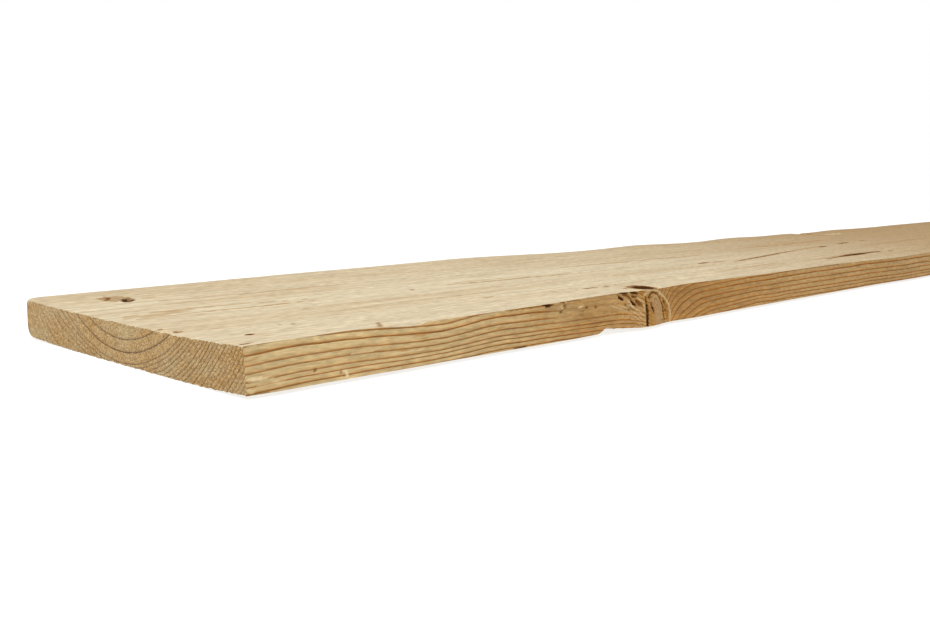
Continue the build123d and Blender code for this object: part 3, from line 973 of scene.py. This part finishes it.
def top_face_colour(tree, tones, place, colours, halo, strength, warm):
    """The pale top: warm bands, pale streaks, and the soft edges of the rings."""
    streak = grain(tree, place, (111.1, 8.333, 8.333), 3.0, 0.36, 0.66)
    weak = add(tree, "Math", {0: strength, 1: 0.8, 2: 0.15}, operation="MULTIPLY_ADD")
    late = add(tree, "Math", {0: halo, 1: weak}, operation="MULTIPLY")
    colour = colours["top_early"]
    for over, share, thickness in (
        ("top_warm", warm, 0.4), ("top_pale", streak, 0.45),
        ("top_warm", tones["russet"], 0.95), ("top_late", late, 0.42),
    ):
        colour = layer(tree, colour, colours[over], share, thickness)
    return colour


def long_side_colour(tree, tones, place, colours, halo, line, strength, warm):
    """The edges: each ring is a pale band, an orange halo and a thin dark line."""
    strong = add(tree, "Math", {0: strength, 1: 0.45, 2: 0.55}, operation="MULTIPLY_ADD")
    strong = add(tree, "Math", {0: tones["russet"], 1: 0.3, 2: strong}, operation="MULTIPLY_ADD")
    kept = add(tree, "Math", {0: tones["fade"], 1: -0.8, 2: 1.0}, operation="MULTIPLY_ADD")
    strong = add(tree, "Math", {0: strong, 1: kept}, operation="MULTIPLY")
    rusty = grain(tree, place, (83.33, 11.11, 11.11), 2.0, 0.38, 0.62)
    dark = layer(tree, colours["side_late"], colours["side_rusty"], rusty)
    colour = layer(tree, colours["side_early"], colours["side_warm"], warm, 0.5)
    colour = layer(tree, colour, colours["side_warm"], tones["russet"], 0.75)
    colour = layer(tree, colour, colours["side_halo"], halo, strong)
    return layer(tree, colour, dark, line, strong)


def marked_colour(tree, tones, place, colours, colour, line):
    """Grey knots, brown stains, pale torn fibres, and painted shade in the cavities, over the wood.
    """
    patchy = grain(tree, place, (14.29, 2.857, 2.857), 3.0, 0.15, 0.55)
    knot_line = add(tree, "Math", {0: line, 1: tones["grey"]}, operation="MULTIPLY")
    uneven = add(tree, "Math", {0: patchy, 1: 0.4, 2: 0.6}, operation="MULTIPLY_ADD")
    deep = add(tree, "Math", {0: tones["brown"], 1: uneven}, operation="MULTIPLY")
    deepest = add(tree, "Math", {0: deep, 1: 2.0}, operation="POWER")
    stain = layer(tree, colours["tan"], colours["stain"], deepest)
    stained = add(tree, "Math", {0: deep, 1: 0.75}, operation="POWER")
    for over, share, thickness in (
        (colours["knot_grey"], tones["grey"], 0.8), (colours["stain"], knot_line, 0.6),
        (stain, stained, 0.95), (colours["torn"], tones["pale"], patchy),
        # Painted shade inside splits, pits and holes, over the wood's own dark
        (colours["cavity"], tones["cavity"], 1.0),
    ):
        colour = layer(tree, colour, over, share, thickness)
    return colour


def finish_wood(tree, colour, place, grain_size, shine):
    """Bare dry wood: rough, with the index of refraction of most organic matter."""
    fine = grain(tree, place, grain_size, 4.0, 0.0, 1.0)
    bump = add(tree, "Bump", {"Strength": 0.6, "Distance": 0.4 * MM, "Height": fine})
    surface = add(tree, "BsdfPrincipled", {
        "Base Color": colour, "Roughness": 0.9, "IOR": 1.5, "Specular IOR Level": shine,
        "Normal": bump,
    })
    add(tree, "OutputMaterial", {"Surface": surface})


def long_grain_material(colours):
    """Softwood along the grain, hewn and brushed: dull, with fine fibres that break the light."""
    material, tree = blank_material("softwood_long_grain_brushed")
    tones = wood_tones(tree)
    place = add(tree, "TexCoord", output="Object")
    phase, strength = late_wood(tree, tones, place, (33.33, 3.333, 3.333), 0.22)

    # Late wood darkens slowly through a ring and stops at once: a halo, then a thin line
    halo = ring_profile(tree, phase, [
        (0.0, 0.0), (0.35, 0.05), (0.75, 0.65), (0.95, 1.0), (1.0, 0.0)])
    line = ring_profile(tree, phase, [
        (0.0, 0.12), (0.03, 0.0), (0.68, 0.0), (0.82, 0.85), (0.95, 1.0), (1.0, 0.25)])

    # Broad bands of warmer wood run through both faces
    warm = grain(tree, place, (625, 38.46, 38.46), 2.0, 0.40, 0.66)
    top = top_face_colour(tree, tones, place, colours, halo, strength, warm)
    side = long_side_colour(tree, tones, place, colours, halo, line, strength, warm)
    colour = layer(tree, top, side, tones["side"])

    # Fibres, drawn coarser than real ones so that they show: long ones, flecks and blotches
    for size, darkest, lightest in (
        ((45.45, 3.333, 3.333), 0.89, 1.10), ((7.692, 1.111, 1.111), 0.80, 1.20),
        ((9.091, 5.263, 5.263), 0.91, 1.09),
    ):
        fibre = grain(tree, place, size, 3.0, 0.3, 0.7)
        colour = shade(tree, colour, fibre, darkest, lightest)
    fleck = grain(tree, place, (22.22, 3.846, 3.846), 2.0, 0.62, 0.74)
    colour = layer(tree, colour, colours["fleck"], fleck, 0.55)
    colour = marked_colour(tree, tones, place, colours, colour, line)

    # Stained and torn wood, and the painted shade in cavities, has no shine
    marked = add(tree, "Math", {0: tones["cavity"], 1: tones["brown"]}, operation="MAXIMUM")
    shine = add(tree, "Math", {0: marked, 1: -SHINE, 2: SHINE}, operation="MULTIPLY_ADD")
    finish_wood(tree, colour, place, (16.67, 1.429, 1.429), shine)
    return material


def end_grain_material(colours):
    """Softwood across the grain, sawn: cut tubes of the fibres make light and dark specks.

    Real ones are a few hundredths of a millimetre wide, so they are drawn in clumps that show.
    """
    material, tree = blank_material("softwood_end_grain_sawn")
    tones = wood_tones(tree)
    place = add(tree, "TexCoord", output="Object")
    phase, strength = late_wood(tree, tones, place, (3.333, 8.333, 8.333), 0.16)
    line = ring_profile(tree, phase, [
        (0.0, 0.1), (0.05, 0.0), (0.6, 0.08), (0.84, 0.5), (0.93, 1.0), (1.0, 0.4)])
    strong = add(tree, "Math", {0: strength, 1: 0.5, 2: 0.5}, operation="MULTIPLY_ADD")
    line = add(tree, "Math", {0: line, 1: strong}, operation="MULTIPLY")

    # The rings grow faint towards the far edge
    across = add(tree, "SeparateXYZ", {"Vector": place}, "Y")
    clear = add(tree, "MapRange", {
        "Value": across, "From Min": RINGS_CLEAR * MM, "From Max": RINGS_FAINT * MM,
        "To Min": 1.3, "To Max": 0.3,
    })
    line = add(tree, "Math", {0: line, 1: clear}, operation="MULTIPLY")

    cloud = grain(tree, place, (50, 41.67, 16.67), 3.0, 0.35, 0.65)
    colour = layer(tree, colours["end_early"], colours["end_gold"], cloud)
    for size, darkest, lightest in (
        ((4.167, 5, 2.941), 0.86, 1.12), ((1.111, 1.5625, 0.9091), 0.66, 1.30),
    ):
        speck = grain(tree, place, size, 2.0, 0.36, 0.64)
        colour = shade(tree, colour, speck, darkest, lightest)
    gold = grain(tree, place, (1.429, 2.083, 1.111), 1.0, 0.52, 0.62)
    colour = layer(tree, colour, colours["end_light"], gold, 0.35)
    colour = layer(tree, colour, colours["end_late"], line, 0.8)
    finish_wood(tree, colour, place, (1.429, 1.429, 1.429), SHINE)
    return material


def relief_property(name, description, millimetres):
    return FloatProperty(
        name=name, description=description, subtype="DISTANCE", unit="LENGTH", min=0,
        default=millimetres * MM, precision=5,
    )


def colour_property(name, description, hex_colour):
    return FloatVectorProperty(
        name=name, description=description, subtype="COLOR", size=3, min=0, max=1,
        default=linear(hex_colour),
    )


class PlankRelief(bpy.types.PropertyGroup):
    """Depths of the wood's fine relief."""
    edge_hollows: relief_property("Edge hollows", "Long hollows of the hand tool, edges", 0.25)
    top_hollows: relief_property("Top hollows", "Long hollows of the hand tool, top", 0.10)
    edge_ridges: relief_property("Edge ridges", "Late wood that stands proud, edges", 0.22)
    top_ridges: relief_property("Top ridges", "Late wood that stands proud, top", 0.05)
    teeth: relief_property("Torn teeth", "Fibres torn off the rim of the first end", 0.85)


class PlankColours(bpy.types.PropertyGroup):
    """Colours of the bare wood."""
    top_early: colour_property("Top, early wood", "Pale wide bands of the top", "#BAAC8F")
    top_warm: colour_property("Top, warm bands", "Broad warmer bands of the top", "#A1855C")
    top_pale: colour_property("Top, pale streaks", "Palest streaks of the top", "#CCBFA3")
    top_late: colour_property("Top, late wood", "Narrow bands of the top", "#96703C")
    side_early: colour_property("Edge, early wood", "Wide bands of the long edges", "#B7A175")
    side_warm: colour_property("Edge, warm bands", "Broad warmer bands of the edges", "#8B6838")
    side_late: colour_property("Edge, late wood", "Narrow bands of the long edges", "#6F4113")
    side_halo: colour_property("Edge, halo", "Orange wood beside those bands", "#9E6D33")
    side_rusty: colour_property("Edge, rusty wood", "Rusty stretches of those bands", "#7F4C13")
    end_early: colour_property("End, early wood", "Wide bands of the sawn ends", "#A78E65")
    end_gold: colour_property("End, golden wood", "Golden clouds of the sawn ends", "#A07C48")
    end_late: colour_property("End, late wood", "Narrow bands of the sawn ends", "#4A3223")
    end_light: colour_property("End, light fibres", "Light specks of the sawn ends", "#D1B88F")
    fleck: colour_property("Flecks", "Short orange-brown flecks", "#96682C")
    stain: colour_property("Stain", "Brown rims of knots, pockets and pits", "#5E300C")
    tan: colour_property("Tan", "Light stains and lines of the grain", "#966A28")
    torn: colour_property("Torn fibres", "Pale torn wood", "#C9B58C")
    knot_grey: colour_property("Knot wood", "Greyish wood of the knots", "#9C8058")
    # Painted shade inside splits, pits and the open knot, over the wood's own dark brown
    cavity: colour_property("Cavity", "Inside of splits, pits and the open knot", "#3A1E0C")


class PlankStudio(bpy.types.PropertyGroup):
    """Light of the studio."""
    surround: FloatProperty(name="Surround", description="Strength of the even light",
                            default=1.0, min=0)
    key: FloatProperty(name="Key light", description="Power of the large soft light overhead",
                       default=44.0, min=0, unit="POWER")


class PLANK_OT_timber(bpy.types.Operator):
    """Makes the dressed plank round its solid"""
    bl_idname = "plank.timber"
    bl_label = "Make the plank"

    def execute(self, context):
        if "plank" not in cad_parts:
            raise RuntimeError("The frame has no plank to dress")
        chosen = context.scene.plank_colours
        colours = {key: tuple(getattr(chosen, key)) for key in PlankColours.__annotations__}
        chosen = context.scene.plank_relief
        relief = {key: getattr(chosen, key) / MM for key in PlankRelief.__annotations__}
        body = build_body(relief)
        mesh = bpy.data.meshes.new("plank_timber")
        mesh.from_pydata((body["points"] * MM).tolist(), [], body["faces"])
        for tone in TONES:
            attribute = mesh.attributes.new(tone, "FLOAT", "POINT")
            attribute.data.foreach_set("value", body[tone].astype(np.float32))
        mesh.materials.append(long_grain_material(colours))
        mesh.materials.append(end_grain_material(colours))
        mesh.polygons.foreach_set("material_index", body["material"])
        mesh.polygons.foreach_set("use_smooth", [True] * len(mesh.polygons))
        sharp = [edge.vertices[0] in body["sharp"] and edge.vertices[1] in body["sharp"]
                 for edge in mesh.edges]
        mesh.attributes.new("sharp_edge", "BOOLEAN", "EDGE").data.foreach_set("value", sharp)
        mesh.update()

        plank = bpy.data.objects.new("plank_timber", mesh)
        context.scene.collection.objects.link(plank)
        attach(plank, "root")
        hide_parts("plank")
        triangles = sum(len(p.vertices) - 2 for p in mesh.polygons)
        print("plank", len(mesh.vertices), "vertices", triangles, "triangles")
        return {"FINISHED"}


class PLANK_OT_stage(bpy.types.Operator):
    """Sets the floor, the light and the camera"""
    bl_idname = "plank.stage"
    bl_label = "Set the stage"

    def execute(self, context):
        studio = context.scene.plank_studio
        scene = context.scene
        bpy.ops.mesh.primitive_plane_add(size=FLOOR_SIZE, location=FLOOR_MIDDLE)
        floor = context.object
        floor.name = "floor"
        # Matt pale floor that glows a little, so the plank throws almost no shadow on it
        material, tree = blank_material("pale_floor")
        paint = add(tree, "BsdfPrincipled", {
            "Base Color": linear(FLOOR_COLOUR), "Roughness": 1.0,
            "Emission Color": (1.0, 1.0, 1.0), "Emission Strength": FLOOR_GLOW,
        })
        add(tree, "OutputMaterial", {"Surface": paint})
        floor.data.materials.append(material)

        world = bpy.data.worlds.new("studio")
        scene.world = world
        world.use_nodes = True
        background = world.node_tree.nodes["Background"]
        background.inputs[0].default_value = (1, 1, 1, 1)
        background.inputs[1].default_value = studio.surround

        data = bpy.data.lights.new("key", "AREA")
        data.shape = "RECTANGLE"
        data.size, data.size_y = KEY_SIZE
        data.energy = studio.key
        key = bpy.data.objects.new("key", data)
        key.location = KEY_PLACE
        key.rotation_euler = Vector((0, 0, -1)).to_track_quat("-Z", "Y").to_euler()
        scene.collection.objects.link(key)

        data = bpy.data.cameras.new("camera")
        data.sensor_width = CAMERA_SENSOR
        data.lens = CAMERA_LENS
        data.clip_start = 0.01
        data.clip_end = 100
        camera = bpy.data.objects.new("camera", data)
        camera.location = CAMERA_PLACE
        camera.rotation_euler = Vector(CAMERA_AIM).to_track_quat("-Z", "Y").to_euler()
        scene.collection.objects.link(camera)
        scene.camera = camera
        scene.view_settings.view_transform = "Standard"
        return {"FINISHED"}


class PLANK_PT_panel(bpy.types.Panel):
    """Lists the steps, the relief, the colours and the light"""
    bl_idname = "PLANK_PT_panel"
    bl_label = "Rough Plank"
    bl_space_type = "VIEW_3D"
    bl_region_type = "UI"
    bl_category = "Plank"

    def draw(self, context):
        layout = self.layout
        scene = context.scene
        for group in (scene.plank_relief, scene.plank_colours, scene.plank_studio):
            for key in type(group).__annotations__:
                layout.prop(group, key)
        layout.operator("plank.timber")
        layout.operator("plank.stage")


CLASSES = (
    PlankRelief, PlankColours, PlankStudio, PLANK_OT_timber, PLANK_OT_stage, PLANK_PT_panel,
)


def register():
    for cls in CLASSES:
        bpy.utils.register_class(cls)
    bpy.types.Scene.plank_relief = PointerProperty(type=PlankRelief)
    bpy.types.Scene.plank_colours = PointerProperty(type=PlankColours)
    bpy.types.Scene.plank_studio = PointerProperty(type=PlankStudio)


def unregister():
    del bpy.types.Scene.plank_studio
    del bpy.types.Scene.plank_colours
    del bpy.types.Scene.plank_relief
    for cls in reversed(CLASSES):
        bpy.utils.unregister_class(cls)


def main():
    register()
    bpy.ops.plank.timber()
    bpy.ops.plank.stage()


if __name__ == "__main__":
    main()
